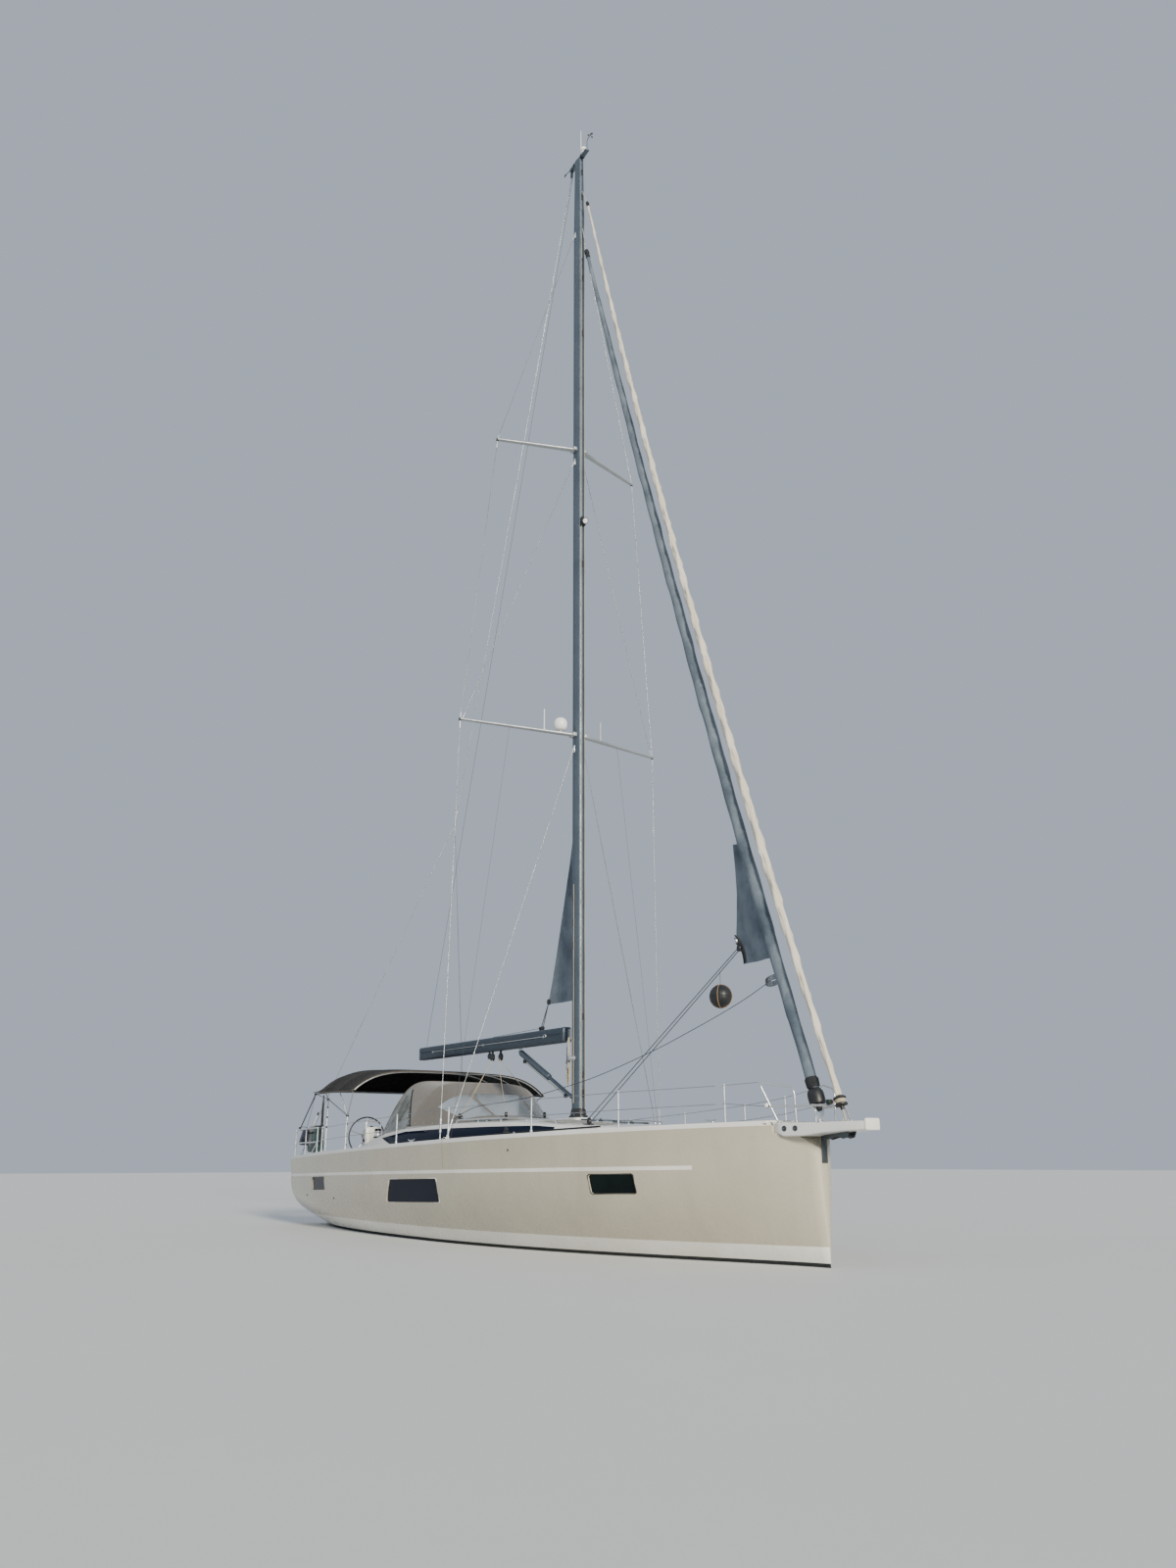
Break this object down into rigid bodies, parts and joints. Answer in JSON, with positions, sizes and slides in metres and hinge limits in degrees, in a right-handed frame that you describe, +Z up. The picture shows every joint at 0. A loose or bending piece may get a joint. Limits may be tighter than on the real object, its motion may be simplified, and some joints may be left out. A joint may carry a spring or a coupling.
{
  "type": "sailing yacht",
  "caption": "Sloop-rigged cruising yacht with furled headsails, in-mast furled mainsail, bimini, sprayhood, twin wheels, fin keel and spade rudder.",
  "frame": {"origin": "on the waterline plane, on the centreline, amidships", "axes": "+X towards the bow, +Y to port, +Z up"},
  "size_m": [15.67, 4.9998, 25.55],
  "materials": {
    "gelcoat": "warm beige gelcoat",
    "deck": "white gelcoat with a fine nonslip grain",
    "antifouling": "dark matt antifouling",
    "spar": "grey anodised",
    "steel": "polished stainless",
    "bronze": "cast bronze",
    "glass": "dark tinted",
    "sail": "blue-grey sun strip cloth",
    "pale_sail": "cream sailcloth",
    "canvas": "charcoal acrylic canvas",
    "hood": "taupe acrylic canvas with clear panels",
    "plastic": "black",
    "dome": "white",
    "engine": "grey-green paint"
  },
  "bodies": {
    "hull": {"hull": "gelcoat", "deck": "deck", "coachroof": "deck", "cockpit": "deck", "cabin_window_starboard": "glass", "cabin_window_port": "glass", "keel": "antifouling", "saildrive_leg": "antifouling", "engine": "engine", "bowsprit": "deck", "pulpit": "steel", "lifeline_starboard": "steel", "lifeline_port": "steel", "pushpit_starboard": "steel", "pushpit_port": "steel", "mast": "spar", "lower_spreader_starboard": "spar", "lower_spreader_port": "spar", "upper_spreader_starboard": "spar", "upper_spreader_port": "spar", "cap_shroud_upper_starboard": "steel", "cap_shroud_upper_port": "steel", "cap_shroud_middle_starboard": "steel", "cap_shroud_middle_port": "steel", "cap_shroud_lower_starboard": "steel", "cap_shroud_lower_port": "steel", "intermediate_shroud_starboard": "steel", "intermediate_shroud_port": "steel", "lower_shroud_starboard": "steel", "lower_shroud_port": "steel", "backstay": "steel", "backstay_leg_starboard": "steel", "backstay_leg_port": "steel", "masthead_gear": "plastic", "spreader_dome": "dome", "deck_light": "plastic", "genoa_furled": "sail", "code_zero_furled": "pale_sail", "genoa_sheet": "canvas", "anchor_ball": "plastic", "bimini": "canvas", "bimini_frame": "steel", "sprayhood": "hood", "helm_pedestal_starboard": "deck", "helm_pedestal_port": "deck", "cockpit_table": "deck", "winch_starboard": "steel", "winch_port": "steel", "rail_bag": "canvas"},
    "rudder": {"rudder": "antifouling"},
    "steering_wheel_starboard": {"steering_wheel_starboard": "steel"},
    "steering_wheel_port": {"steering_wheel_port": "steel"},
    "propeller": {"propeller": "bronze"},
    "boom": {"boom": "spar", "boom_vang": "spar", "mainsail_clew": "sail"},
    "swim_platform": {"swim_platform": "deck"},
    "companionway_hatch": {"companionway_hatch": "plastic"},
    "anchor_locker_lid": {"anchor_locker_lid": "deck"},
    "foredeck_hatch": {"foredeck_hatch": "deck"}
  },
  "joints": [
    {"name": "rudder_turn", "type": "hinge", "parent": "hull", "child": "rudder", "pos_m": [-6.35, 0, -0.25], "axis": [0, 0, 1], "range_deg": [-35, 35]},
    {"name": "wheel_starboard_turn", "type": "hinge", "parent": "hull", "child": "steering_wheel_starboard", "pos_m": [-6.13, -0.88, 1.79], "axis": [1, 0, 0], "range_deg": [-360, 360]},
    {"name": "wheel_port_turn", "type": "hinge", "parent": "hull", "child": "steering_wheel_port", "pos_m": [-6.13, 0.88, 1.79], "axis": [1, 0, 0], "range_deg": [-360, 360]},
    {"name": "propeller_spin", "type": "hinge", "parent": "hull", "child": "propeller", "pos_m": [-2.875, 0, -0.88], "axis": [1, 0, 0], "continuous": true},
    {"name": "boom_swing", "type": "hinge", "parent": "hull", "child": "boom", "pos_m": [1.215, 0, 3.385], "axis": [0, 0, 1], "range_deg": [-70, 70]},
    {"name": "platform_fold", "type": "hinge", "parent": "hull", "child": "swim_platform", "pos_m": [-7.35, 0, 0.3005], "axis": [0, -1, 0], "range_deg": [0, 90]},
    {"name": "companionway_slide", "type": "slide", "parent": "hull", "child": "companionway_hatch", "axis": [1, 0, 0], "range_m": [0, 0.55]},
    {"name": "anchor_locker_lift", "type": "hinge", "parent": "hull", "child": "anchor_locker_lid", "pos_m": [6.6, 0, 1.76], "axis": [0, 1, 0], "range_deg": [0, 85]},
    {"name": "foredeck_hatch_lift", "type": "hinge", "parent": "hull", "child": "foredeck_hatch", "pos_m": [5.2, 0, 1.76], "axis": [0, 1, 0], "range_deg": [0, 85]}
  ],
  "couplings": [
    {"joint": "wheel_starboard_turn", "follows": "rudder_turn", "ratio": 10.28},
    {"joint": "wheel_port_turn", "follows": "rudder_turn", "ratio": 10.28}
  ]
}
